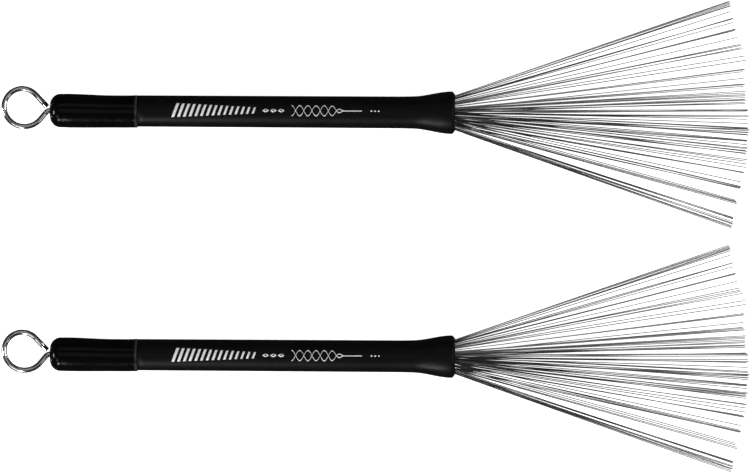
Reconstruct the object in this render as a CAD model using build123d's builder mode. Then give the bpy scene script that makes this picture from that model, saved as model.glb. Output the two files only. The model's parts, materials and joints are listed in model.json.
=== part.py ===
"""A pair of retractable wire drum brushes, lying side by side on a table, in millimetres.

Each brush is an aluminium tube with a flared mouth, under a rubber grip and a vinyl rear cap. A steel
rod with a loop at its end runs in through a plug at the back of the tube. On the rod's front end a
brass ferrule holds 89 spring steel wires in nine rows. Pulling the loop draws the wires into the tube.

Row frame: +X from the loops towards the wire tips, +Y towards the left brush, +Z up. The origin is on
the table, under the middle of the pair. Brush frame: its origin is the middle of the grip's mouth, and
its x runs along the brush. A brush rests on its flare and on its rear cap, which is thinner, so its
axis rises a little towards the wires.
"""

import os
from math import atan, atan2, cos, hypot, radians, sin
from random import Random

from build123d import *

# Overall
BRUSH_LENGTH = 330.4  # from the loop to the wire tips, 13 inches
WIRE_REACH = 129.7  # from the mouth to the wire tips
PAIR_SPACING = 107.8  # between the two brushes' axes
PAIR_OFFSET = 0.64  # the right brush lies this much nearer its wires

# Tube: half-inch aluminium, flared at its front end
TUBE_R = 6.35
TUBE_WALL = 0.7
TUBE_REAR_X = -174.0
FLARE_START_X = -16.2
FLARE_END_X = -4.7
FLARE_REST_X = -3.2
FLARE_RISE = 2.35
FLARE_BEND_R = 34.0
FLARE_END_BEND_R = 17.0

# Rubber grip over the tube, and its lip over the tube's rim
GRIP_REAR_X = -140.4
GRIP_REAR_R = 6.93
GRIP_NECK_R = 7.05
LIP_LENGTH = 1.1
LIP_FRONT_R = 8.15
LIP_BORE_R = 7.95
LIP_ROUND_R = 0.4

# Vinyl cap over the rear of the tube and over the plug's head
CAP_REAR_X = -179.0
CAP_REAR_R = 7.35
CAP_REST_X = -170.5
CAP_REST_R = 7.5
CAP_WAIST_X = -155.0
CAP_FRONT_R = 7.15
CAP_END_WALL = 1.2
CAP_CORNER_R = 4.6
CAP_BEND_R = 12.0
CAP_WAIST_BEND_R = 60.0
CAP_HOLE_R = 1.5

# Plug in the rear of the tube, with a rubber ring and a washer in its front pocket
PLUG_HEAD_ROUND_R = 3.4
PLUG_BODY_LENGTH = 9.5
PLUG_BORE_R = 1.25
PLUG_CHAMFER = 0.4
POCKET_R = 3.5
RING_LENGTH = 2.8
RING_BORE_R = 1.22
RING_ROUND_R = 0.4
WASHER_THICK = 1.0
WASHER_BORE_R = 1.6

# Pull rod: 3/32 inch steel, bent into a closed loop
ROD_R = 1.19
ROD_BEND_X = -179.0
ROD_BEND_R = 2.6
ROD_BEND_ANGLE = 50.0
ROD_NECK_LENGTH = 3.9
LOOP_RIGHT_R = 9.1
LOOP_RIGHT_SWEEP = 121.0
LOOP_LEFT_R = 8.05
LOOP_LEFT_SWEEP = 155.0
LOOP_TAIL_LENGTH = 7.6
ROD_END_CHAMFER = 0.3

# Ferrule: a round barrel crimped on the rod, with a flattened socket for the wires
FERRULE_FRONT_X = -18.6
SOCKET_LENGTH = 9.0
SOCKET_WALL = 0.55
SOCKET_FLOOR = 0.8
SHOULDER_R = 3.5
SHOULDER_LENGTH = 1.2
BARREL_R = 2.4
BARREL_LENGTH = 12.0
CRIMP_DEPTH = 0.25
CRIMP_R = 0.53
CRIMP_XS = (-38.2, -36.6)
ROD_IN_BARREL = 9.5

# Nylon collar that runs in the tube, and the clip that holds it on the barrel
COLLAR_LENGTH = 6.0
COLLAR_GAP = 0.12
COLLAR_FLUTES = 6
COLLAR_FLUTE_R = 0.9
CLIP_LENGTH = 0.8
CLIP_R = 3.4
CLIP_GAP_WIDTH = 1.4

# Wires
WIRE_R = 0.2
WIRE_PITCH = 0.43
ROW_PITCH = 0.373
WIRES_IN_ROW = (5, 10, 11, 12, 13, 12, 11, 10, 5)  # from the bottom row to the top row
WIRE_PLAY = 0.03
WIRE_BEND_X = -14.3
WIRE_BEND_LENGTH = 4.6
FAN_CENTRE_X = -21.6  # the wires fan out as if from this point of the axis
FAN_TURN = 0.15  # of the whole fan, to the left
FAN_ROW_SPREAD = 1.4  # between rows at the tips
TIP_LIFT_PLAY = 0.35
TIP_LENGTH_PLAY = 0.15
# Spring wires gather in tufts: angle off the axis in degrees, number of wires, width in degrees, and how
# far their tips reach past the fan's arc
TUFTS = (
    (18.75, 6, 1.1, -0.3),
    (17.5, 1, 0.0, -0.8),
    (16.2, 2, 0.1, -1.2),
    (15.55, 1, 0.0, -1.3),
    (14.3, 3, 0.3, -1.3),
    (12.95, 1, 0.0, -1.3),
    (11.3, 4, 1.2, -0.3),
    (9.25, 2, 1.4, 0.5),
    (7.3, 3, 0.5, -0.9),
    (5.95, 1, 0.0, -1.2),
    (4.85, 4, 0.6, -1.5),
    (2.7, 9, 2.3, -1.2),
    (0.55, 5, 0.45, -0.6),
    (-0.6, 3, 0.9, -0.3),
    (-1.65, 1, 0.0, 0.0),
    (-3.0, 8, 1.5, 0.1),
    (-4.6, 3, 0.3, -0.2),
    (-5.2, 1, 0.0, 0.0),
    (-6.3, 6, 1.2, 0.0),
    (-7.85, 2, 0.4, 0.6),
    (-8.75, 2, 1.3, 0.6),
    (-9.9, 3, 0.3, 0.3),
    (-11.5, 1, 0.0, -0.1),
    (-12.45, 4, 0.5, 0.0),
    (-15.0, 4, 0.9, -0.1),
    (-17.75, 3, 0.4, 0.7),
    (-18.85, 6, 1.25, 1.3),
)

# Worked out from the sizes above
MIDDLE_ROW = len(WIRES_IN_ROW) // 2
FAN_R = WIRE_REACH - FAN_CENTRE_X
TUBE_BORE_R = TUBE_R - TUBE_WALL
TUBE_FRONT_X = -LIP_LENGTH
FLARE_R = GRIP_NECK_R + FLARE_RISE
PLUG_FRONT_X = TUBE_REAR_X + PLUG_BODY_LENGTH
WASHER_REAR_X = PLUG_FRONT_X - WASHER_THICK
RING_REAR_X = WASHER_REAR_X - RING_LENGTH
SOCKET_Y = WIRE_PITCH * (WIRES_IN_ROW[MIDDLE_ROW] - 1) / 2 + WIRE_R + WIRE_PLAY
SOCKET_Z = ROW_PITCH * MIDDLE_ROW + WIRE_R + WIRE_PLAY
SOCKET_REAR_X = FERRULE_FRONT_X - SOCKET_LENGTH
WIRE_REAR_X = SOCKET_REAR_X + SOCKET_FLOOR
SHOULDER_REAR_X = SOCKET_REAR_X - SHOULDER_LENGTH
BARREL_REAR_X = SOCKET_REAR_X - BARREL_LENGTH
ROD_FRONT_X = BARREL_REAR_X + ROD_IN_BARREL
COLLAR_REAR_X = SHOULDER_REAR_X - COLLAR_LENGTH
CLIP_REAR_X = COLLAR_REAR_X - CLIP_LENGTH
MOUTH_X = BRUSH_LENGTH / 2 - WIRE_REACH
REST_SLOPE = atan((FLARE_R - CAP_REST_R) / (FLARE_REST_X - CAP_REST_X))
MOUTH_Z = FLARE_R * cos(REST_SLOPE) - FLARE_REST_X * sin(REST_SLOPE)


def brush_plane(x, y):
    """The brush frame of the brush whose mouth is moved by that x and y from the pair's middle line."""
    return Plane(
        origin=(MOUTH_X + x, y, MOUTH_Z),
        x_dir=(cos(REST_SLOPE), 0, sin(REST_SLOPE)),
        z_dir=(-sin(REST_SLOPE), 0, cos(REST_SLOPE)),
    )


def axis_of(plane):
    """The brush's own axis, towards the wires."""
    return Axis(plane.origin, plane.x_dir)


def across(plane, x):
    """The plane square to the brush at that x, facing the wires, with its x to the left."""
    return Plane(origin=plane.from_local_coords((x, 0, 0)), x_dir=plane.y_dir, z_dir=plane.x_dir)


def flared_line(rear_x, rear_r, neck_r, front_x):
    """The side of a tube that widens at its mouth."""
    return FilletPolyline(
        (rear_x, rear_r),
        (FLARE_START_X, neck_r),
        (FLARE_END_X, neck_r + FLARE_RISE),
        (front_x, neck_r + FLARE_RISE),
        radius=[FLARE_BEND_R, FLARE_END_BEND_R],
    )


def annulus(outer_r, inner_r):
    """The section of a round ring, drawn in the sketch that is open."""
    Circle(outer_r)
    Circle(inner_r, mode=Mode.SUBTRACT)


def handle_tube(plane):
    with BuildPart() as tube:
        with BuildSketch(plane):
            with BuildLine():
                outer = flared_line(TUBE_REAR_X, TUBE_R, TUBE_R, TUBE_FRONT_X)
                inner = flared_line(TUBE_REAR_X, TUBE_BORE_R, TUBE_BORE_R, TUBE_FRONT_X)
                Line(outer @ 1, inner @ 1)
                Line(inner @ 0, outer @ 0)
            make_face()
        revolve(axis=axis_of(plane))
    return tube


def grip_sleeve(plane):
    with BuildPart() as grip:
        with BuildSketch(plane):
            with BuildLine():
                outer = flared_line(GRIP_REAR_X, GRIP_REAR_R, GRIP_NECK_R, TUBE_FRONT_X)
                inner = flared_line(GRIP_REAR_X, TUBE_R, TUBE_R, TUBE_FRONT_X)
                Polyline(
                    outer @ 1,
                    (0, LIP_FRONT_R),
                    (0, LIP_BORE_R),
                    (TUBE_FRONT_X, LIP_BORE_R),
                    inner @ 1,
                )
                Line(inner @ 0, outer @ 0)
            make_face()
        revolve(axis=axis_of(plane))
        lip_edges = grip.edges().filter_by(GeomType.CIRCLE).group_by(axis_of(plane))[-2]
        fillet(lip_edges.sort_by(SortBy.RADIUS)[-1], LIP_ROUND_R)
    return grip


def rear_cap(plane):
    inside_x = CAP_REAR_X + CAP_END_WALL
    with BuildPart() as cap:
        with BuildSketch(plane):
            with BuildLine():
                FilletPolyline(
                    (CAP_REAR_X, CAP_HOLE_R),
                    (CAP_REAR_X, CAP_REAR_R),
                    (CAP_REST_X, CAP_REST_R),
                    (CAP_WAIST_X, CAP_FRONT_R),
                    (GRIP_REAR_X, CAP_FRONT_R),
                    radius=[CAP_CORNER_R, CAP_BEND_R, CAP_WAIST_BEND_R],
                )
                FilletPolyline(
                    (CAP_REAR_X, CAP_HOLE_R),
                    (inside_x, CAP_HOLE_R),
                    (inside_x, TUBE_R),
                    (GRIP_REAR_X, TUBE_R),
                    (GRIP_REAR_X, CAP_FRONT_R),
                    radius=[0, PLUG_HEAD_ROUND_R, 0],
                )
            make_face()
        revolve(axis=axis_of(plane))
    return cap


def rod_plug(plane):
    head_x = CAP_REAR_X + CAP_END_WALL
    with BuildPart() as plug:
        with BuildSketch(across(plane, head_x)):
            annulus(TUBE_R, PLUG_BORE_R)
        extrude(amount=TUBE_REAR_X - head_x)
        rear_edges = plug.edges().filter_by(GeomType.CIRCLE).group_by(axis_of(plane))[0]
        fillet(rear_edges.sort_by(SortBy.RADIUS)[-1], PLUG_HEAD_ROUND_R)
        with BuildSketch(across(plane, TUBE_REAR_X)):
            annulus(TUBE_BORE_R, PLUG_BORE_R)
        extrude(amount=PLUG_BODY_LENGTH)
        with BuildSketch(across(plane, RING_REAR_X)):
            Circle(POCKET_R)
        extrude(amount=PLUG_FRONT_X - RING_REAR_X, mode=Mode.SUBTRACT)
        front_edges = plug.edges().filter_by(GeomType.CIRCLE).group_by(axis_of(plane))[-1]
        chamfer(front_edges.sort_by(SortBy.RADIUS)[-1], PLUG_CHAMFER)
    return plug


def friction_ring(plane):
    with BuildPart() as friction:
        with BuildSketch(across(plane, RING_REAR_X)):
            annulus(POCKET_R, RING_BORE_R)
        extrude(amount=RING_LENGTH)
        bore_edges = friction.edges().filter_by(GeomType.CIRCLE).sort_by(SortBy.RADIUS)[:2]
        fillet(bore_edges, RING_ROUND_R)
    return friction


def plug_washer(plane):
    with BuildPart() as washer:
        with BuildSketch(across(plane, WASHER_REAR_X)):
            annulus(POCKET_R, WASHER_BORE_R)
        extrude(amount=WASHER_THICK)
    return washer


def pull_rod(plane):
    with BuildPart() as rod:
        with BuildLine(plane) as route:
            shaft = Line((ROD_FRONT_X, 0), (ROD_BEND_X, 0))
            bend = JernArc(shaft @ 1, shaft % 1, ROD_BEND_R, ROD_BEND_ANGLE)
            neck = PolarLine(bend @ 1, ROD_NECK_LENGTH, direction=bend % 1)
            loop_right = JernArc(neck @ 1, neck % 1, LOOP_RIGHT_R, -LOOP_RIGHT_SWEEP)
            loop_left = JernArc(loop_right @ 1, loop_right % 1, LOOP_LEFT_R, -LOOP_LEFT_SWEEP)
            PolarLine(loop_left @ 1, LOOP_TAIL_LENGTH, direction=loop_left % 1)
        with BuildSketch(across(plane, ROD_FRONT_X)):
            Circle(ROD_R)
        sweep(path=route.wire())
        chamfer(rod.faces().filter_by(GeomType.PLANE).edges(), ROD_END_CHAMFER)
    return rod


def wire_ferrule(plane):
    with BuildPart() as ferrule:
        with BuildSketch(across(plane, BARREL_REAR_X)):
            Circle(BARREL_R)
        extrude(amount=BARREL_LENGTH)
        with BuildSketch(across(plane, SHOULDER_REAR_X)):
            Circle(SHOULDER_R)
        extrude(amount=SHOULDER_LENGTH)
        with BuildSketch(across(plane, SOCKET_REAR_X)):
            SlotOverall(2 * (SOCKET_Y + SOCKET_WALL), 2 * (SOCKET_Z + SOCKET_WALL))
        extrude(amount=SOCKET_LENGTH)
        with BuildSketch(across(plane, WIRE_REAR_X)):
            SlotOverall(2 * SOCKET_Y, 2 * SOCKET_Z)
        extrude(amount=SOCKET_LENGTH - SOCKET_FLOOR, mode=Mode.SUBTRACT)
        with BuildSketch(across(plane, BARREL_REAR_X)):
            Circle(ROD_R)
        extrude(amount=ROD_IN_BARREL, mode=Mode.SUBTRACT)
        for crimp_x in CRIMP_XS:
            with BuildSketch(plane):
                with Locations((crimp_x, BARREL_R + CRIMP_R - CRIMP_DEPTH)):
                    Circle(CRIMP_R)
            revolve(axis=axis_of(plane), mode=Mode.SUBTRACT)
    return ferrule


def slide_collar(plane):
    outer_r = TUBE_BORE_R - COLLAR_GAP
    with BuildPart() as collar:
        with BuildSketch(across(plane, COLLAR_REAR_X)):
            annulus(outer_r, BARREL_R)
            with PolarLocations(outer_r, COLLAR_FLUTES):
                Circle(COLLAR_FLUTE_R, mode=Mode.SUBTRACT)
        extrude(amount=COLLAR_LENGTH)
    return collar


def collar_clip(plane):
    with BuildPart() as clip:
        with BuildSketch(across(plane, CLIP_REAR_X)):
            annulus(CLIP_R, BARREL_R)
            with Locations((0, CLIP_R)):
                Rectangle(CLIP_GAP_WIDTH, 2 * CLIP_R, mode=Mode.SUBTRACT)
        extrude(amount=CLIP_LENGTH)
    return clip


def wire_routes():
    """Every wire's points in the brush frame, in a list for each row, from the fan's right edge."""
    random = Random(4)
    places = [((count - 1) / 2 - n, row) for row, count in enumerate(WIRES_IN_ROW) for n in range(count)]
    random.shuffle(places)
    places.sort(key=lambda place: place[0])
    fan = sorted(
        (FAN_TURN + middle + width * ((n + 0.5) / count - 0.5), past)
        for middle, count, width, past in TUFTS
        for n in range(count)
    )
    rows = [[] for _ in WIRES_IN_ROW]
    for (place, row), (angle, past) in zip(places, fan):
        y = WIRE_PITCH * place
        z = ROW_PITCH * (row - MIDDLE_ROW)
        reach = FAN_R + past + random.uniform(-TIP_LENGTH_PLAY, TIP_LENGTH_PLAY)
        lift = FAN_ROW_SPREAD * (row - MIDDLE_ROW) + random.uniform(-TIP_LIFT_PLAY, TIP_LIFT_PLAY)
        tip = (FAN_CENTRE_X + reach * cos(radians(angle)), reach * sin(radians(angle)), lift)
        rows[row].append([(WIRE_REAR_X, y, z), (WIRE_BEND_X, y, z), tip])
    return rows


def wires(plane, routes):
    with BuildPart() as bundle:
        for rear, bend, tip in routes:
            turn = atan2(hypot(tip[1] - bend[1], tip[2] - bend[2]), tip[0] - bend[0])
            with BuildLine(plane):
                path = FilletPolyline(rear, bend, tip, radius=WIRE_BEND_LENGTH / turn)
            with BuildSketch(Plane(path @ 0, z_dir=path % 0)):
                Circle(WIRE_R)
            sweep(path=path)
    return bundle


def save(name, piece):
    piece.part.label = name
    export_step(piece.part, f"parts/{name}.step")


os.makedirs("parts", exist_ok=True)
wire_rows = wire_routes()
edge_wires = [row[end] for row in wire_rows for end in (0, -1)]
for side, hand in (("left", 1), ("right", -1)):
    plane = brush_plane(-hand * PAIR_OFFSET / 2, hand * PAIR_SPACING / 2)
    save(f"{side}_handle_tube", handle_tube(plane))
    save(f"{side}_grip_sleeve", grip_sleeve(plane))
    save(f"{side}_rear_cap", rear_cap(plane))
    save(f"{side}_rod_plug", rod_plug(plane))
    save(f"{side}_friction_ring", friction_ring(plane))
    save(f"{side}_plug_washer", plug_washer(plane))
    save(f"{side}_pull_rod", pull_rod(plane))
    save(f"{side}_wire_ferrule", wire_ferrule(plane))
    save(f"{side}_slide_collar", slide_collar(plane))
    save(f"{side}_collar_clip", collar_clip(plane))
    save(f"{side}_edge_wires", wires(plane, edge_wires))
    for number, row in enumerate(wire_rows, 1):
        save(f"{side}_wire_row_{number}", wires(plane, row[1:-1]))
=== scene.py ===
"""Looks of the pair of retractable wire drum brushes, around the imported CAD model.

Lengths are millimetres in the brush frame: the origin is the middle of the grip's mouth, x runs along
the brush towards the wires, y to the left and z up. Every piece is made in that frame and moved to each
brush's place, which comes from its slide's axis and its grip's mount. The scene around the brushes is
in metres.
"""

import json
from math import cos, degrees, hypot, pi, radians, sin, tan
from random import Random

import bmesh
import bpy
from mathutils import Matrix, Vector


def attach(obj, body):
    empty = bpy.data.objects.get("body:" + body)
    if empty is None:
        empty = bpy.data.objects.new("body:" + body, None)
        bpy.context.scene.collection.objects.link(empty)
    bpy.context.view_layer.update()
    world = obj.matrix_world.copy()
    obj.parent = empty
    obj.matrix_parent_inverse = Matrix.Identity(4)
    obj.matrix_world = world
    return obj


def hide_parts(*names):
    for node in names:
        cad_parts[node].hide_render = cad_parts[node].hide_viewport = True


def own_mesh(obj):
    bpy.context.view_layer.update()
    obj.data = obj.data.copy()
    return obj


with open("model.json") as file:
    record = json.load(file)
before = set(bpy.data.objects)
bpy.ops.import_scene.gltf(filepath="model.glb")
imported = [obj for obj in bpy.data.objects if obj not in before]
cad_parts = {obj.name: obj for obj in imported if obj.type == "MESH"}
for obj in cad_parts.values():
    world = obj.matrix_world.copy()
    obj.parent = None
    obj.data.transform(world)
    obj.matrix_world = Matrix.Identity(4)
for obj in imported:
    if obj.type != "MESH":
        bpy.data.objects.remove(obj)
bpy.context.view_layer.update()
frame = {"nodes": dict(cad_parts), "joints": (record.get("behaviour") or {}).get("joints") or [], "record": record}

MM = 0.001
SIDES = ("left", "right")
GRIP_MOUNT_X = -80.0
LATHE_SIDES = 160

# Tube and grip
TUBE_R = 6.35
TUBE_FRONT_X = -1.1
GRIP_REAR_X = -140.4
GRIP_REAR_R = 6.93
GRIP_REAR_CHAMFER = 0.15
GRIP_NECK_R = 7.05
FLARE_START_X = -25.0
FLARE_END_X = -1.6
# The flare is two soft rises, a slight one behind a strong one: start, end and rise
FLARE_RISES = ((FLARE_START_X, -16.0, 0.13), (-18.6, FLARE_END_X, 2.22))
LIP_FRONT_R = 8.15
LIP_BORE_R = 7.95
LIP_ROUNDS = (0.4, 0.15, 0.08)  # outside, at the front and at the bore

# Printed ornament along the top of the grip
PRINT_T = 0.3  # its middle line, to the left of the top
PRINT_DEPTH = 0.03  # how far it reaches into the grip
PRINT_LIFT = 0.03
PRINT_STEP = 0.5
BARS = 15
BARS_START_X = -123.2
BARS_LENGTH = 34.6
BAR_HEIGHTS = (6.4, 2.8)  # of the first and the last bar
BAR_WIDTHS = (1.25, 0.9)
BAR_SLANT = 0.35
LEAVES_X = (-83.4, -80.0, -76.6)
LEAF_SIZE = (2.9, 1.5)
TWIST_X = (-72.0, -41.0)
TWIST_HEIGHTS = (2.3, -2.3)
TWIST_LIFTS = (0.03, 0.02)
TWIST_PERIOD = 7.2
TWIST_LINE = 0.42
TWIST_STEP = 0.25
TWIST_FADE = (14.0, 7.0)  # from its end, where the waves start to die away and where they are gone
DOTS_X = (-36.8, -35.2, -33.6)
DOT_SIZE = (0.9, 0.8)

# Rear cap
CAP_REAR_X = -179.0
CAP_REST_X = -170.5
CAP_REST_R = 7.5
CAP_TAPER_END_X = -151.0
CAP_FRONT_R = 7.15
CAP_REAR_DROP = 0.07  # how much thinner the cap is at its shoulder
CAP_BEAD = 0.06
CAP_CORNER_R = 4.6
CAP_HOLE_R = 1.5
CAP_HOLE_ROUND_R = 0.5
CAP_INSIDE_X = -177.8
PLUG_HEAD_ROUND_R = 3.4
CAP_EDGE_ROUND_R = 0.3
CAP_OFF_CENTRE = 0.3  # towards the right, once it has tapered
CAP_SHIFT_X = (-174.5, -152.0)  # where the skin starts to leave the centre, and where it's furthest off
CAP_RETURN_X = (-146.0, -141.0)
CAP_RETURN = 0.3  # the share of the shift that is gone at the front edge
CAP_SKIN = 0.2  # a point that is further than this from the tube is on the cap's outside
PAINTED_RIM_HIGHLIGHT_X = (GRIP_REAR_X - 1.0, GRIP_REAR_X - 0.5)  # where the cap is painted paler towards its cut edge, a painted highlight
NICK_ANGLE = 24.0  # from the top of the cap, towards the right
NICK_WIDTH = 13.0  # to each side, in degrees
NICK_X = (GRIP_REAR_X - 1.6, GRIP_REAR_X - 0.3)
NICK_LENGTH = 0.605
NICK_DEPTH = 0.2

# Pull rod
ROD_R = 1.19
ROD_END_BEVEL = 0.22
ROD_FRONT_X = -30.1
ROD_BEND_X = -179.0
ROD_BEND_R = 2.6
ROD_BEND_ANGLE = 50.0
ROD_NECK_LENGTH = 3.9
LOOP_RIGHT_R = 9.1
LOOP_RIGHT_SWEEP = 121.0
LOOP_LEFT_R = 8.05
LOOP_LEFT_SWEEP = 155.0
LOOP_TAIL_LENGTH = 7.6

# Wires, as in the CAD model
WIRE_REACH = 129.7
WIRE_R = 0.2
WIRE_PITCH = 0.43
ROW_PITCH = 0.373
WIRES_IN_ROW = (5, 10, 11, 12, 13, 12, 11, 10, 5)
MIDDLE_ROW = len(WIRES_IN_ROW) // 2
WIRE_REAR_X = -26.8
WIRE_BEND_X = -14.3
WIRE_BEND_LENGTH = 4.6
FAN_CENTRE_X = -21.6
FAN_TURN = 0.15
FAN_ROW_SPREAD = 1.4
TIP_LIFT_PLAY = 0.35
TIP_LENGTH_PLAY = 0.15
# Angle off the axis in degrees, number of wires, width in degrees, tips past the fan's arc
TUFTS = (
    (18.75, 6, 1.1, -0.3),
    (17.5, 1, 0.0, -0.8),
    (16.2, 2, 0.1, -1.2),
    (15.55, 1, 0.0, -1.3),
    (14.3, 3, 0.3, -1.3),
    (12.95, 1, 0.0, -1.3),
    (11.3, 4, 1.2, -0.3),
    (9.25, 2, 1.4, 0.5),
    (7.3, 3, 0.5, -0.9),
    (5.95, 1, 0.0, -1.2),
    (4.85, 4, 0.6, -1.5),
    (2.7, 9, 2.3, -1.2),
    (0.55, 5, 0.45, -0.6),
    (-0.6, 3, 0.9, -0.3),
    (-1.65, 1, 0.0, 0.0),
    (-3.0, 8, 1.5, 0.1),
    (-4.6, 3, 0.3, -0.2),
    (-5.2, 1, 0.0, 0.0),
    (-6.3, 6, 1.2, 0.0),
    (-7.85, 2, 0.4, 0.6),
    (-8.75, 2, 1.3, 0.6),
    (-9.9, 3, 0.3, 0.3),
    (-11.5, 1, 0.0, -0.1),
    (-12.45, 4, 0.5, 0.0),
    (-15.0, 4, 0.9, -0.1),
    (-17.75, 3, 0.4, 0.7),
    (-18.85, 6, 1.25, 1.3),
)

# Wires, only in this model. Most values differ between the fan's right and left halves.
WIRE_MIX = {"right": 2.6, "left": 0.3}  # how far they are mixed in the mouth, in wire pitches
WIRE_BOW = {"right": 0.45, "left": 0.3}
WIRE_LIFT_BOW = 0.15
WIRE_SHADE_AND_PAINTED_SIDE_LIGHT = {"right": 0.14, "left": 1.0}  # the lightest random shade, from 0 to 1; the right half is held darker as painted shade
WIRE_PAINTED_TIP_LIGHT = {"right": 0.42, "left": 0.25}  # how much lighter they are painted towards the tips, as painted light, leaving painted shade near the mouth
# Where the painted light along the wires starts and where it is full
WIRE_PAINTED_TIP_LIGHT_X = (60.0, 108.0)
# They close on the axis as they are drawn in; each piece holds the wires that close best along one of these lines
CLOSING_ANGLES = (0, 8, -8, 16, -16, 30, -30, 60, -60, 90)
CLOSED_SHARE = 0.08

# Scene, in metres
CAMERA_HEIGHT = 1.603  # above the brushes' axes
CAMERA_LENS = 174.0
CAMERA_ROLL = 0.34
CAMERA_BRUSH_X = -35.0  # over this x of the left brush, in millimetres
CAMERA_Y = -0.001  # from the middle between the brushes
FLOOR_R = 6.0
# Name, bearing and elevation in degrees, distance, size, radiance
SOFTBOXES = (
    ("key", 232, 38, 1.6, (0.5, 0.5), 3),
    ("side", 250, 19, 1.6, (0.2, 0.4), 40),
    ("fill", 112, 50, 1.6, (0.8, 0.5), 0.5),
    ("lamp", 187, 17, 1.2, (0.26, 0.1), 95),
    ("front", 0, 35, 1.8, (0.9, 0.5), 14),
    ("corner", 312, 36, 1.6, (0.3, 0.3), 3),
    ("overhead", 0, 90, 2.0, (1.2, 0.9), 0.45),
)


def brush_matrix(side):
    """From millimetres in a brush's frame to metres in the shared frame."""
    slide = next(j for j in frame["joints"] if j["name"] == f"{side}_wire_slide")
    mount = next(m for m in frame["record"]["mounts"] if m["name"] == f"{side}_grip_barrel")
    along = -Vector(slide["axis"]).normalized()
    left = Vector((0, 1, 0))
    up = along.cross(left)
    origin = Vector(mount["pos_m"]) - along * GRIP_MOUNT_X * MM
    turn = Matrix((along, left, up)).transposed().to_4x4()
    return Matrix.Translation(origin) @ turn @ Matrix.Scale(MM, 4)


# Mesh tools


def finish_piece(name, mesh, side, material, body):
    """Puts a bmesh made in the brush frame on a body, as a smooth piece with one material."""
    mesh.transform(brush_matrix(side))
    bmesh.ops.recalc_face_normals(mesh, faces=mesh.faces)
    data = bpy.data.meshes.new(f"{side}_{name}")
    mesh.to_mesh(data)
    mesh.free()
    data.shade_smooth()
    piece = bpy.data.objects.new(f"{side}_{name}", data)
    bpy.context.scene.collection.objects.link(piece)
    data.materials.append(material)
    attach(piece, f"{side}_{body}")
    return piece


def arc(centre, radius, start, end, steps):
    """Points of an arc, from one angle to another in degrees."""
    angles = [radians(start + (end - start) * i / steps) for i in range(steps + 1)]
    return [(centre[0] + radius * cos(a), centre[1] + radius * sin(a)) for a in angles]


def lathe(outline, sides, warp=None):
    """A closed solid of revolution about x. warp moves a point (x, radius, angle) before it is placed."""
    mesh = bmesh.new()
    rings = []
    for x, radius in outline:
        ring = []
        for i in range(sides):
            angle = 2 * pi * i / sides
            px, pr = warp(x, radius, angle) if warp else (x, radius)
            ring.append(mesh.verts.new((px, -pr * sin(angle), pr * cos(angle))))
        rings.append(ring)
    for a, b in zip(rings, rings[1:] + rings[:1]):
        for i in range(sides):
            j = (i + 1) % sides
            mesh.faces.new((a[i], a[j], b[j], b[i]))
    return mesh


def rounded(points, radii, steps=6):
    """A run of straight lines with its inner corners rounded to the radii, one each."""
    corners = [Vector(p) for p in points]
    result = [corners[0]]
    for before, corner, after, radius in zip(corners, corners[1:], corners[2:], radii):
        back = (before - corner).normalized()
        out = (after - corner).normalized()
        half = back.angle(out) / 2
        centre = corner + (back + out).normalized() * radius / sin(half)
        start = corner + back * radius / tan(half) - centre
        end = corner + out * radius / tan(half) - centre
        result += [centre + start.slerp(end, i / steps) * radius for i in range(steps + 1)]
    return [tuple(p) for p in result + [corners[-1]]]


def add_tube(mesh, path, radius, sides, bevel=0.0):
    """Adds a round closed tube along a list of points, with its end edges bevelled."""
    points = [Vector(p) for p in path]
    steps = [(b - a).normalized() for a, b in zip(points, points[1:])]
    tangents = [steps[0]] + [(a + b).normalized() for a, b in zip(steps, steps[1:])] + [steps[-1]]
    normal = tangents[0].orthogonal().normalized()
    sections = []
    for point, tangent in zip(points, tangents):
        normal = (normal - tangent * normal.dot(tangent)).normalized()
        sections.append((point, normal, tangent.cross(normal), radius))
    if bevel:
        first, last = sections[0], sections[-1]
        sections[0] = (first[0] + tangents[0] * bevel, *first[1:])
        sections[-1] = (last[0] - tangents[-1] * bevel, *last[1:])
        sections.insert(0, (*first[:3], radius - bevel))
        sections.append((*last[:3], radius - bevel))
    rings = []
    for point, u, v, r in sections:
        turns = [2 * pi * i / sides for i in range(sides)]
        rings.append([mesh.verts.new(point + (u * cos(a) + v * sin(a)) * r) for a in turns])
    for a, b in zip(rings, rings[1:]):
        for i in range(sides):
            j = (i + 1) % sides
            mesh.faces.new((a[i], a[j], b[j], b[i]))
    mesh.faces.new(list(reversed(rings[0])))
    mesh.faces.new(rings[-1])
    return [vert for ring in rings for vert in ring]


# Materials


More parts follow.
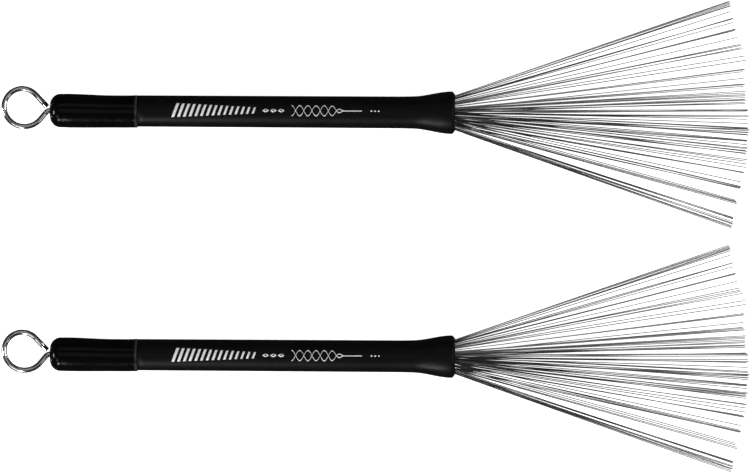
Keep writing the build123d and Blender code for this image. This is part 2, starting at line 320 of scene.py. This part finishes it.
class Shader:
    """A material's node tree, with short calls for the nodes used here."""

    def __init__(self, name, **values):
        self.material = bpy.data.materials.new(name)
        self.material.use_nodes = True
        self.nodes = self.material.node_tree.nodes
        self.links = self.material.node_tree.links
        self.bsdf = self.nodes["Principled BSDF"]
        for key, value in values.items():
            self.bsdf.inputs[key.replace("_", " ")].default_value = value

    def node(self, kind, **values):
        made = self.nodes.new(kind)
        for key, value in values.items():
            setattr(made, key, value)
        return made

    def place(self, scale=(1, 1, 1)):
        """Object coordinates in metres, stretched."""
        coordinates = self.node("ShaderNodeTexCoord")
        mapping = self.node("ShaderNodeMapping")
        mapping.inputs["Scale"].default_value = scale
        self.links.new(coordinates.outputs["Object"], mapping.inputs["Vector"])
        return mapping.outputs["Vector"]

    def noise(self, vector, scale, detail=3.0, roughness=0.5):
        texture = self.node("ShaderNodeTexNoise")
        texture.inputs["Scale"].default_value = scale
        texture.inputs["Detail"].default_value = detail
        texture.inputs["Roughness"].default_value = roughness
        self.links.new(vector, texture.inputs["Vector"])
        return texture.outputs["Fac"]

    def spread(self, value, low, high, to_low, to_high):
        """Maps a value's range to another, clamped."""
        mapped = self.node("ShaderNodeMapRange")
        ends = {"From Min": low, "From Max": high, "To Min": to_low, "To Max": to_high}
        for key, number in ends.items():
            mapped.inputs[key].default_value = number
        self.links.new(value, mapped.inputs["Value"])
        return mapped.outputs["Result"]

    def mix_colours(self, value, first, second):
        mix = self.node("ShaderNodeMix", data_type="RGBA")
        mix.inputs["A"].default_value = (*first, 1)
        mix.inputs["B"].default_value = (*second, 1)
        self.links.new(value, mix.inputs["Factor"])
        return mix.outputs["Result"]

    def bump(self, height, distance, strength):
        made = self.node("ShaderNodeBump")
        made.inputs["Distance"].default_value = distance
        made.inputs["Strength"].default_value = strength
        self.links.new(height, made.inputs["Height"])
        self.links.new(made.outputs["Normal"], self.bsdf.inputs["Normal"])

    def feed(self, output, socket):
        self.links.new(output, self.bsdf.inputs[socket])


def rubber_material():
    """Satin moulded rubber: a very fine grain, faint handling marks and a little dust in the grain."""
    shader = Shader("grip_rubber", Roughness=0.38, Specular_IOR_Level=0.13)
    place = shader.place()
    wear = shader.noise(place, 90, detail=4)
    shader.feed(shader.mix_colours(wear, (0.002, 0.002, 0.0022), (0.0045, 0.0045, 0.0048)), "Base Color")
    smears = shader.noise(shader.place((0.4, 1.6, 1.6)), 160, detail=5, roughness=0.65)
    shader.feed(shader.spread(smears, 0.3, 0.7, 0.33, 0.45), "Roughness")
    shader.bump(shader.noise(place, 5200, detail=2), 0.00003, 0.6)
    return shader.material


def vinyl_material():
    """Dipped black vinyl: glossy, with the slow waves of a dip, faint scuffs and a painted highlight along its cut
    edge.
    """
    shader = Shader("cap_vinyl", Roughness=0.16, Specular_IOR_Level=0.12)
    place = shader.place()
    # The rim attribute paints a highlight along the cap's front edge into its colour
    rim = shader.node("ShaderNodeAttribute", attribute_name="rim")
    shade = shader.node("ShaderNodeMath", operation="ADD")
    shader.links.new(shader.spread(shader.noise(place, 60), 0.3, 0.7, 0.0, 0.035), shade.inputs[0])
    shader.links.new(rim.outputs["Fac"], shade.inputs[1])
    colour = shader.mix_colours(shade.outputs["Value"], (0.0012, 0.0012, 0.0014), (0.045, 0.045, 0.047))
    shader.feed(colour, "Base Color")
    scuffs = shader.noise(shader.place((1, 3, 3)), 420, detail=6, roughness=0.7)
    shader.feed(shader.spread(scuffs, 0.45, 0.75, 0.13, 0.3), "Roughness")
    shader.bump(shader.noise(place, 260, detail=1.5), 0.00008, 0.5)
    return shader.material


def plated_material():
    """Bright nickel plate on drawn wire: long faint draw lines and small dull specks."""
    shader = Shader("rod_chrome", Metallic=1.0, Roughness=0.2)
    place = shader.place()
    shade = shader.noise(place, 240, detail=5)
    shader.feed(shader.mix_colours(shade, (0.66, 0.67, 0.69), (0.82, 0.83, 0.84)), "Base Color")
    shader.feed(shader.spread(shader.noise(place, 900, detail=6), 0.35, 0.75, 0.12, 0.2), "Roughness")
    shader.bump(shader.noise(place, 400, detail=1), 0.00001, 0.06)
    return shader.material


def wire_material():
    """Drawn spring wire: each wire has its own random shade, with painted shade on the fan's right half and
    painted light that grows towards the tips.
    """
    shader = Shader("wire_steel", Metallic=0.65, Roughness=0.24)
    # This attribute carries each wire's random shade together with painted shade on the right half and painted
    # light towards the tips
    tone_and_painted_light = shader.node("ShaderNodeAttribute", attribute_name="tone_and_painted_light")
    shade = shader.mix_colours(tone_and_painted_light.outputs["Fac"], (0.05, 0.05, 0.055), (0.66, 0.66, 0.68))
    shader.feed(shade, "Base Color")
    lengths = shader.noise(shader.place((30, 400, 400)), 1.0, detail=4)
    shader.feed(shader.spread(lengths, 0.3, 0.7, 0.16, 0.36), "Roughness")
    return shader.material


def metal_material(name, dark, light, roughness, along=False):
    """Turned or drawn metal: fine lines round the brush's axis, or along it, and a mottled shade."""
    shader = Shader(name, Metallic=1.0, Roughness=roughness)
    shade = shader.noise(shader.place(), 300, detail=5)
    shader.feed(shader.mix_colours(shade, dark, light), "Base Color")
    stretch = (40, 2500, 2500) if along else (4000, 60, 60)
    lines = shader.noise(shader.place(stretch), 1.0, detail=3)
    shader.feed(shader.spread(lines, 0.3, 0.7, roughness - 0.08, roughness + 0.1), "Roughness")
    shader.bump(lines, 0.00002, 0.5)
    return shader.material


def plastic_material(name, dark, light, roughness):
    """Moulded plastic or rubber: a faint mottle and a fine satin surface."""
    shader = Shader(name, Roughness=roughness)
    place = shader.place()
    shader.feed(shader.mix_colours(shader.noise(place, 250, detail=4), dark, light), "Base Color")
    satin = shader.noise(place, 700)
    shader.feed(shader.spread(satin, 0.3, 0.7, roughness - 0.06, roughness + 0.08), "Roughness")
    shader.bump(shader.noise(place, 3000, detail=2), 0.00003, 0.4)
    return shader.material


def print_material():
    """White pad print, a little worn through."""
    shader = Shader("grip_print", Roughness=0.45)
    worn = shader.spread(shader.noise(shader.place(), 1400, detail=5), 0.25, 0.45, 0.0, 1.0)
    shader.feed(shader.mix_colours(worn, (0.45, 0.45, 0.45), (0.86, 0.86, 0.85)), "Base Color")
    return shader.material


# Pieces


def smooth_step(value, low, high):
    """0 up to the low value and 1 from the high one, with a soft rise between them."""
    share = min(1.0, max(0.0, (value - low) / (high - low)))
    return share * share * (3 - 2 * share)


def flare(x):
    """How far the flare stands out over a straight grip."""
    return sum(rise * smooth_step(x, start, end) for start, end, rise in FLARE_RISES)


def barrel_radius(x):
    """The grip's outside, before its lip."""
    taper = (x - GRIP_REAR_X) / (FLARE_START_X - GRIP_REAR_X)
    return GRIP_REAR_R + (GRIP_NECK_R - GRIP_REAR_R) * min(1.0, taper) + flare(x)


def spaced(start, end, step):
    """Even places from start to end, about a step apart."""
    count = max(1, round(abs(end - start) / step))
    return [start + (end - start) * i / count for i in range(count + 1)]


def grip_piece(side, material):
    """The moulded grip, with its bell mouth and the lip that slopes in over the tube's rim."""
    straight = spaced(GRIP_REAR_X + GRIP_REAR_CHAMFER, FLARE_START_X, 3)
    flared = spaced(FLARE_START_X, FLARE_END_X, 0.6)[1:]
    barrel = [(x, barrel_radius(x)) for x in straight + flared]
    bell_r = barrel[-1][1]
    lip_corners = ((TUBE_FRONT_X, bell_r), (0, LIP_FRONT_R), (0, LIP_BORE_R))
    lip = rounded((barrel[-1], *lip_corners, (TUBE_FRONT_X, LIP_BORE_R)), LIP_ROUNDS)
    seat = [(x, TUBE_R + flare(x)) for x in spaced(TUBE_FRONT_X, FLARE_START_X, 1.2)]
    rear_outside = (GRIP_REAR_X, GRIP_REAR_R - GRIP_REAR_CHAMFER)
    outline = [rear_outside] + barrel + lip[1:] + seat + [(GRIP_REAR_X, TUBE_R)]
    piece = finish_piece("grip", lathe(outline, LATHE_SIDES), side, material, "handle")
    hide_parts(f"{side}_grip_sleeve")


def print_mark(mesh, one_edge, other_edge, lift=PRINT_LIFT):
    """Adds a thin closed mark to the top of the grip, between two lines of (x, arc to the left) points."""
    rings = []
    for one, other in zip(one_edge, other_edge):
        ring = []
        for (x, t), height in ((one, -PRINT_DEPTH), (one, lift), (other, lift), (other, -PRINT_DEPTH)):
            angle = t / GRIP_NECK_R
            radius = barrel_radius(x) + height
            ring.append(mesh.verts.new((x, radius * sin(angle), radius * cos(angle))))
        rings.append(ring)
    for a, b in zip(rings, rings[1:]):
        for i in range(4):
            j = (i + 1) % 4
            mesh.faces.new((a[i], a[j], b[j], b[i]))
    mesh.faces.new(list(reversed(rings[0])))
    mesh.faces.new(rings[-1])


def print_bar(mesh, x, height, width):
    """A slanted bar across the grip."""
    arcs = [PRINT_T + t for t in spaced(-height / 2, height / 2, PRINT_STEP)]
    print_mark(
        mesh,
        [(x + BAR_SLANT * (t - PRINT_T) - width / 2, t) for t in arcs],
        [(x + BAR_SLANT * (t - PRINT_T) + width / 2, t) for t in arcs],
    )


def print_leaf(mesh, x, length, width):
    """A pointed leaf along the grip, with its ends cut off just before the points."""
    xs = spaced(-length / 2 * 0.96, length / 2 * 0.96, length / 16)
    halves = [width / 2 * cos(pi * u / length) for u in xs]
    print_mark(
        mesh,
        [(x + u, PRINT_T + half) for u, half in zip(xs, halves)],
        [(x + u, PRINT_T - half) for u, half in zip(xs, halves)],
    )


def print_wave(mesh, height, lift):
    """A thin wave along the grip that dies away towards its end. Two of them make the twist."""
    start, end = TWIST_X
    xs = spaced(start, end, TWIST_STEP)
    fading = [1 - smooth_step(x, end - TWIST_FADE[0], end - TWIST_FADE[1]) for x in xs]
    middles = [PRINT_T + height * f * cos(2 * pi * (x - start) / TWIST_PERIOD) for x, f in zip(xs, fading)]
    print_mark(
        mesh,
        [(x, t + TWIST_LINE / 2) for x, t in zip(xs, middles)],
        [(x, t - TWIST_LINE / 2) for x, t in zip(xs, middles)],
        lift,
    )


def print_piece(side, material):
    """A plain printed ornament along the top of the grip: bars, leaves, a twist of two waves and dots."""
    mesh = bmesh.new()
    for i in range(BARS):
        share = i / (BARS - 1)
        height = BAR_HEIGHTS[0] + (BAR_HEIGHTS[1] - BAR_HEIGHTS[0]) * share
        width = BAR_WIDTHS[0] + (BAR_WIDTHS[1] - BAR_WIDTHS[0]) * share
        print_bar(mesh, BARS_START_X + BARS_LENGTH * share, height, width)
    for x in LEAVES_X:
        print_leaf(mesh, x, *LEAF_SIZE)
    for height, lift in zip(TWIST_HEIGHTS, TWIST_LIFTS):
        print_wave(mesh, height, lift)
    for x in DOTS_X:
        print_leaf(mesh, x, *DOT_SIZE)
    finish_piece("print", mesh, side, material, "handle")


def cap_radius(x):
    """The cap's outside: widest where it rests, a little less at its shoulder, and less at its front."""
    drop = CAP_REAR_DROP * (1 - smooth_step(x, CAP_REAR_X + CAP_CORNER_R, CAP_REST_X))
    taper = smooth_step(x, CAP_REST_X, CAP_TAPER_END_X)
    return CAP_FRONT_R + (CAP_REST_R - CAP_FRONT_R) * (1 - taper) - drop


def dent_cap(x, radius, angle):
    """Moves the cap's skin off centre and presses a small nick into its front edge."""
    if radius < TUBE_R + CAP_SKIN:
        return x, radius
    shift = smooth_step(x, *CAP_SHIFT_X) - CAP_RETURN * smooth_step(x, *CAP_RETURN_X)
    radius += CAP_OFF_CENTRE * shift * sin(angle)
    off = ((degrees(angle) - NICK_ANGLE + 180) % 360 - 180) / NICK_WIDTH
    depth = max(0.0, 1 - off * off) ** 2 * smooth_step(x, *NICK_X)
    return x - NICK_LENGTH * depth, radius - NICK_DEPTH * depth


def cap_piece(side, material):
    """The dipped vinyl cap: a domed end with a rolled hole, and a soft bead at its front edge."""
    corner = (CAP_REAR_X + CAP_CORNER_R, cap_radius(CAP_REAR_X + CAP_CORNER_R) - CAP_CORNER_R)
    roll = (CAP_REAR_X + CAP_HOLE_ROUND_R, CAP_HOLE_R + CAP_HOLE_ROUND_R)
    hole = arc(roll, CAP_HOLE_ROUND_R, 270, 180, 6)
    end = [(CAP_REAR_X, r) for r in spaced(roll[1], corner[1], 0.5)[1:-1]]
    dome = arc(corner, CAP_CORNER_R, 180, 90, 24)
    edge_x = GRIP_REAR_X - CAP_EDGE_ROUND_R
    wall_xs = spaced(corner[0], edge_x, 0.5)[1:-1]
    wall = [(x, cap_radius(x) + CAP_BEAD * smooth_step(x, edge_x - 1.5, edge_x - 0.5)) for x in wall_xs]
    edge = arc((edge_x, CAP_FRONT_R + CAP_BEAD - CAP_EDGE_ROUND_R), CAP_EDGE_ROUND_R, 90, 0, 6)
    head = (CAP_INSIDE_X + PLUG_HEAD_ROUND_R, TUBE_R - PLUG_HEAD_ROUND_R)
    bore = [(GRIP_REAR_X, TUBE_R)] + arc(head, PLUG_HEAD_ROUND_R, 90, 180, 10)
    outline = hole + end + dome + wall + edge + bore + [(CAP_INSIDE_X, CAP_HOLE_R)]
    mesh = lathe(outline, LATHE_SIDES, dent_cap)
    # A painted highlight along the cap's front edge, carried by the rim attribute
    rim = mesh.verts.layers.float.new("rim")
    for vert in mesh.verts:
        outside = hypot(vert.co.y, vert.co.z) > TUBE_R + CAP_SKIN
        vert[rim] = smooth_step(vert.co.x, *PAINTED_RIM_HIGHLIGHT_X) if outside else 0.0
    piece = finish_piece("cap", mesh, side, material, "handle")
    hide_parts(f"{side}_rear_cap")


def turned(point, heading, radius, sweep, steps):
    """Points of an arc that starts at a point with a heading, and the heading at its end, in degrees."""
    hand = 1 if sweep > 0 else -1
    centre = (
        point[0] - hand * radius * sin(radians(heading)),
        point[1] + hand * radius * cos(radians(heading)),
    )
    start = heading - hand * 90
    return arc(centre, radius, start, start + sweep, steps)[1:], heading + sweep


def ahead(point, heading, length):
    """A point straight ahead."""
    return (point[0] + length * cos(radians(heading)), point[1] + length * sin(radians(heading)))


def rod_route():
    """The rod's middle line, from inside the ferrule to the loop's cut end."""
    points = [(x, 0.0) for x in spaced(ROD_FRONT_X, ROD_BEND_X, 10)]
    bend, heading = turned(points[-1], 180, ROD_BEND_R, ROD_BEND_ANGLE, 14)
    points += bend + [ahead(bend[-1], heading, ROD_NECK_LENGTH)]
    right, heading = turned(points[-1], heading, LOOP_RIGHT_R, -LOOP_RIGHT_SWEEP, 50)
    points += right
    left, heading = turned(points[-1], heading, LOOP_LEFT_R, -LOOP_LEFT_SWEEP, 60)
    points += left + [ahead(left[-1], heading, LOOP_TAIL_LENGTH)]
    return [(x, y, 0.0) for x, y in points]


def rod_piece(side, material):
    """The pull rod, bent into the loop at its end."""
    mesh = bmesh.new()
    add_tube(mesh, rod_route(), ROD_R, 40, bevel=ROD_END_BEVEL)
    piece = finish_piece("rod_and_loop", mesh, side, material, "plunger")
    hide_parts(f"{side}_pull_rod")


def wire_ends():
    """Every wire's rear end, bend and tip. They are the CAD model's, but mixed a little in the mouth."""
    random = Random(4)
    places = [((count - 1) / 2 - n, row) for row, count in enumerate(WIRES_IN_ROW) for n in range(count)]
    random.shuffle(places)
    mixing = Random(2)

    def mixed(place):
        mix = WIRE_MIX["right" if place[0] < 0.5 else "left"]
        return place[0] + mixing.uniform(-1, 1) * mix

    places.sort(key=mixed)
    fan = sorted(
        (FAN_TURN + middle + width * ((n + 0.5) / count - 0.5), past)
        for middle, count, width, past in TUFTS
        for n in range(count)
    )
    routes = []
    for (place, row), (angle, past) in zip(places, fan):
        y = WIRE_PITCH * place
        z = ROW_PITCH * (row - MIDDLE_ROW)
        reach = WIRE_REACH - FAN_CENTRE_X + past + random.uniform(-TIP_LENGTH_PLAY, TIP_LENGTH_PLAY)
        lift = FAN_ROW_SPREAD * (row - MIDDLE_ROW) + random.uniform(-TIP_LIFT_PLAY, TIP_LIFT_PLAY)
        tip = (FAN_CENTRE_X + reach * cos(radians(angle)), reach * sin(radians(angle)), lift)
        routes.append((Vector((WIRE_REAR_X, y, z)), Vector((WIRE_BEND_X, y, z)), Vector(tip)))
    return routes


def wire_path(rear, bend, tip, bow):
    """Straight in the ferrule, an even bend, and then nearly straight to the tip."""
    out = (tip - bend).normalized()
    first = bend - Vector((WIRE_BEND_LENGTH / 2, 0, 0))
    last = bend + out * WIRE_BEND_LENGTH / 2
    path = [rear]
    for i in range(9):
        u = i / 8
        path.append(first * (1 - u) ** 2 + bend * 2 * u * (1 - u) + last * u * u)
    # The last short step keeps the shading of the cut end off the rest of the wire
    for u in (*spaced(0.125, 0.875, 0.125), 0.997, 1.0):
        path.append(last.lerp(tip, u) + bow * 4 * u * (1 - u))
    return path


def closing_line(tip):
    """The line along which a wire with that tip closes on the axis best."""

    def left_over(line):
        a = radians(line)
        return hypot(tip.z * cos(a) - tip.y * sin(a), CLOSED_SHARE * (tip.y * cos(a) + tip.z * sin(a)))

    return min(CLOSING_ANGLES, key=left_over)


def wire_pieces(side, material):
    """The wires, in a few pieces, each holding the wires that close on the axis best along one line as they are
    drawn in.
    """
    random = Random(11)
    meshes = {line: bmesh.new() for line in CLOSING_ANGLES}
    tones = {line: mesh.verts.layers.float.new("tone_and_painted_light") for line, mesh in meshes.items()}
    for rear, bend, tip in wire_ends():
        line = closing_line(tip)
        half = "right" if tip.y < 0 else "left"
        sideways = random.uniform(-WIRE_BOW[half], WIRE_BOW[half])
        bow = Vector((0, sideways, random.uniform(-WIRE_LIFT_BOW, WIRE_LIFT_BOW)))
        # A random shade for each wire, held darker on the right half as painted shade and lighter on the left as
        # painted light
        tone_and_painted_light = random.random() * WIRE_SHADE_AND_PAINTED_SIDE_LIGHT[half]
        # Painted light grows along each wire towards its tip, leaving painted shade near the mouth
        for vert in add_tube(meshes[line], wire_path(rear, bend, tip, bow), WIRE_R, 10):
            vert[tones[line]] = tone_and_painted_light + WIRE_PAINTED_TIP_LIGHT[half] * smooth_step(vert.co.x, *WIRE_PAINTED_TIP_LIGHT_X)
    rows = [f"{side}_wire_row_{n + 1}" for n in range(len(WIRES_IN_ROW))]
    for line, mesh in meshes.items():
        name = f"wires_{line % 180}"
        piece = finish_piece(name, mesh, side, material, "plunger")
        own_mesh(piece)
        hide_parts(f"{side}_edge_wires", *rows)


# The two brushes. The inner parts keep the CAD model's shapes.

rubber = rubber_material()
vinyl = vinyl_material()
plated = plated_material()
wire_steel = wire_material()
white_print = print_material()
inner_materials = {
    "handle_tube": metal_material("tube_aluminium", (0.5, 0.51, 0.52), (0.66, 0.67, 0.69), 0.34, True),
    "rod_plug": plastic_material("plug_nylon", (0.7, 0.69, 0.63), (0.8, 0.79, 0.74), 0.42),
    "friction_ring": plastic_material("ring_rubber", (0.012, 0.012, 0.012), (0.03, 0.03, 0.03), 0.7),
    "plug_washer": metal_material("washer_steel", (0.5, 0.5, 0.5), (0.64, 0.64, 0.63), 0.3),
    "wire_ferrule": metal_material("ferrule_brass", (0.5, 0.35, 0.14), (0.72, 0.53, 0.25), 0.28),
    "slide_collar": plastic_material("collar_nylon", (0.74, 0.73, 0.68), (0.84, 0.83, 0.79), 0.4),
    "collar_clip": metal_material("clip_steel", (0.14, 0.15, 0.18), (0.28, 0.29, 0.31), 0.3),
}
for side in SIDES:
    grip_piece(side, rubber)
    print_piece(side, white_print)
    cap_piece(side, vinyl)
    rod_piece(side, plated)
    wire_pieces(side, wire_steel)
    for node, material in inner_materials.items():
        inner = frame["nodes"][f"{side}_{node}"]
        inner.data.materials.clear()
        inner.data.materials.append(material)


# Floor, lights and camera

barrel_mounts = [m for m in frame["record"]["mounts"] if m["name"].endswith("grip_barrel")]
axis_height = sum(m["pos_m"][2] for m in barrel_mounts) / len(barrel_mounts)

floor_shader = Shader("floor", Base_Color=(0.85, 0.85, 0.85, 1), Roughness=0.9, Emission_Color=(1, 1, 1, 1))
floor_shader.bsdf.inputs["Emission Strength"].default_value = 0.9
floor_mesh = bmesh.new()
bmesh.ops.create_circle(floor_mesh, cap_ends=True, radius=FLOOR_R, segments=96)
floor_data = bpy.data.meshes.new("floor")
floor_mesh.to_mesh(floor_data)
floor_mesh.free()
floor_data.materials.append(floor_shader.material)
floor = bpy.data.objects.new("floor", floor_data)
bpy.context.scene.collection.objects.link(floor)
floor.visible_glossy = False


def softbox(name, bearing, elevation, distance, size, radiance):
    """A rectangular light that faces the brushes, at a bearing from +X and an elevation, in degrees."""
    out = Vector((cos(radians(bearing)), sin(radians(bearing)), 0)) * cos(radians(elevation))
    out.z = sin(radians(elevation))
    data = bpy.data.lights.new(name, "AREA")
    data.shape = "RECTANGLE"
    data.size, data.size_y = size
    data.energy = radiance * pi * size[0] * size[1]
    light = bpy.data.objects.new(name, data)
    bpy.context.scene.collection.objects.link(light)
    light.location = out * distance
    light.rotation_euler = out.to_track_quat("Z", "Y").to_euler()


for light_values in SOFTBOXES:
    softbox(*light_values)

world = bpy.data.worlds.new("studio")
world.use_nodes = True
world.node_tree.nodes["Background"].inputs["Color"].default_value = (0.8, 0.8, 0.8, 1)
world.node_tree.nodes["Background"].inputs["Strength"].default_value = 0.03
bpy.context.scene.world = world
bpy.context.scene.view_settings.view_transform = "Standard"

camera_data = bpy.data.cameras.new("camera")
camera_data.lens = CAMERA_LENS
camera_data.clip_start = 0.01
camera = bpy.data.objects.new("camera", camera_data)
bpy.context.scene.collection.objects.link(camera)
camera_x = (brush_matrix("left") @ Vector((CAMERA_BRUSH_X, 0, 0))).x
camera.location = (camera_x, CAMERA_Y, axis_height + CAMERA_HEIGHT)
camera.rotation_euler = (0, 0, radians(CAMERA_ROLL))
bpy.context.scene.camera = camera
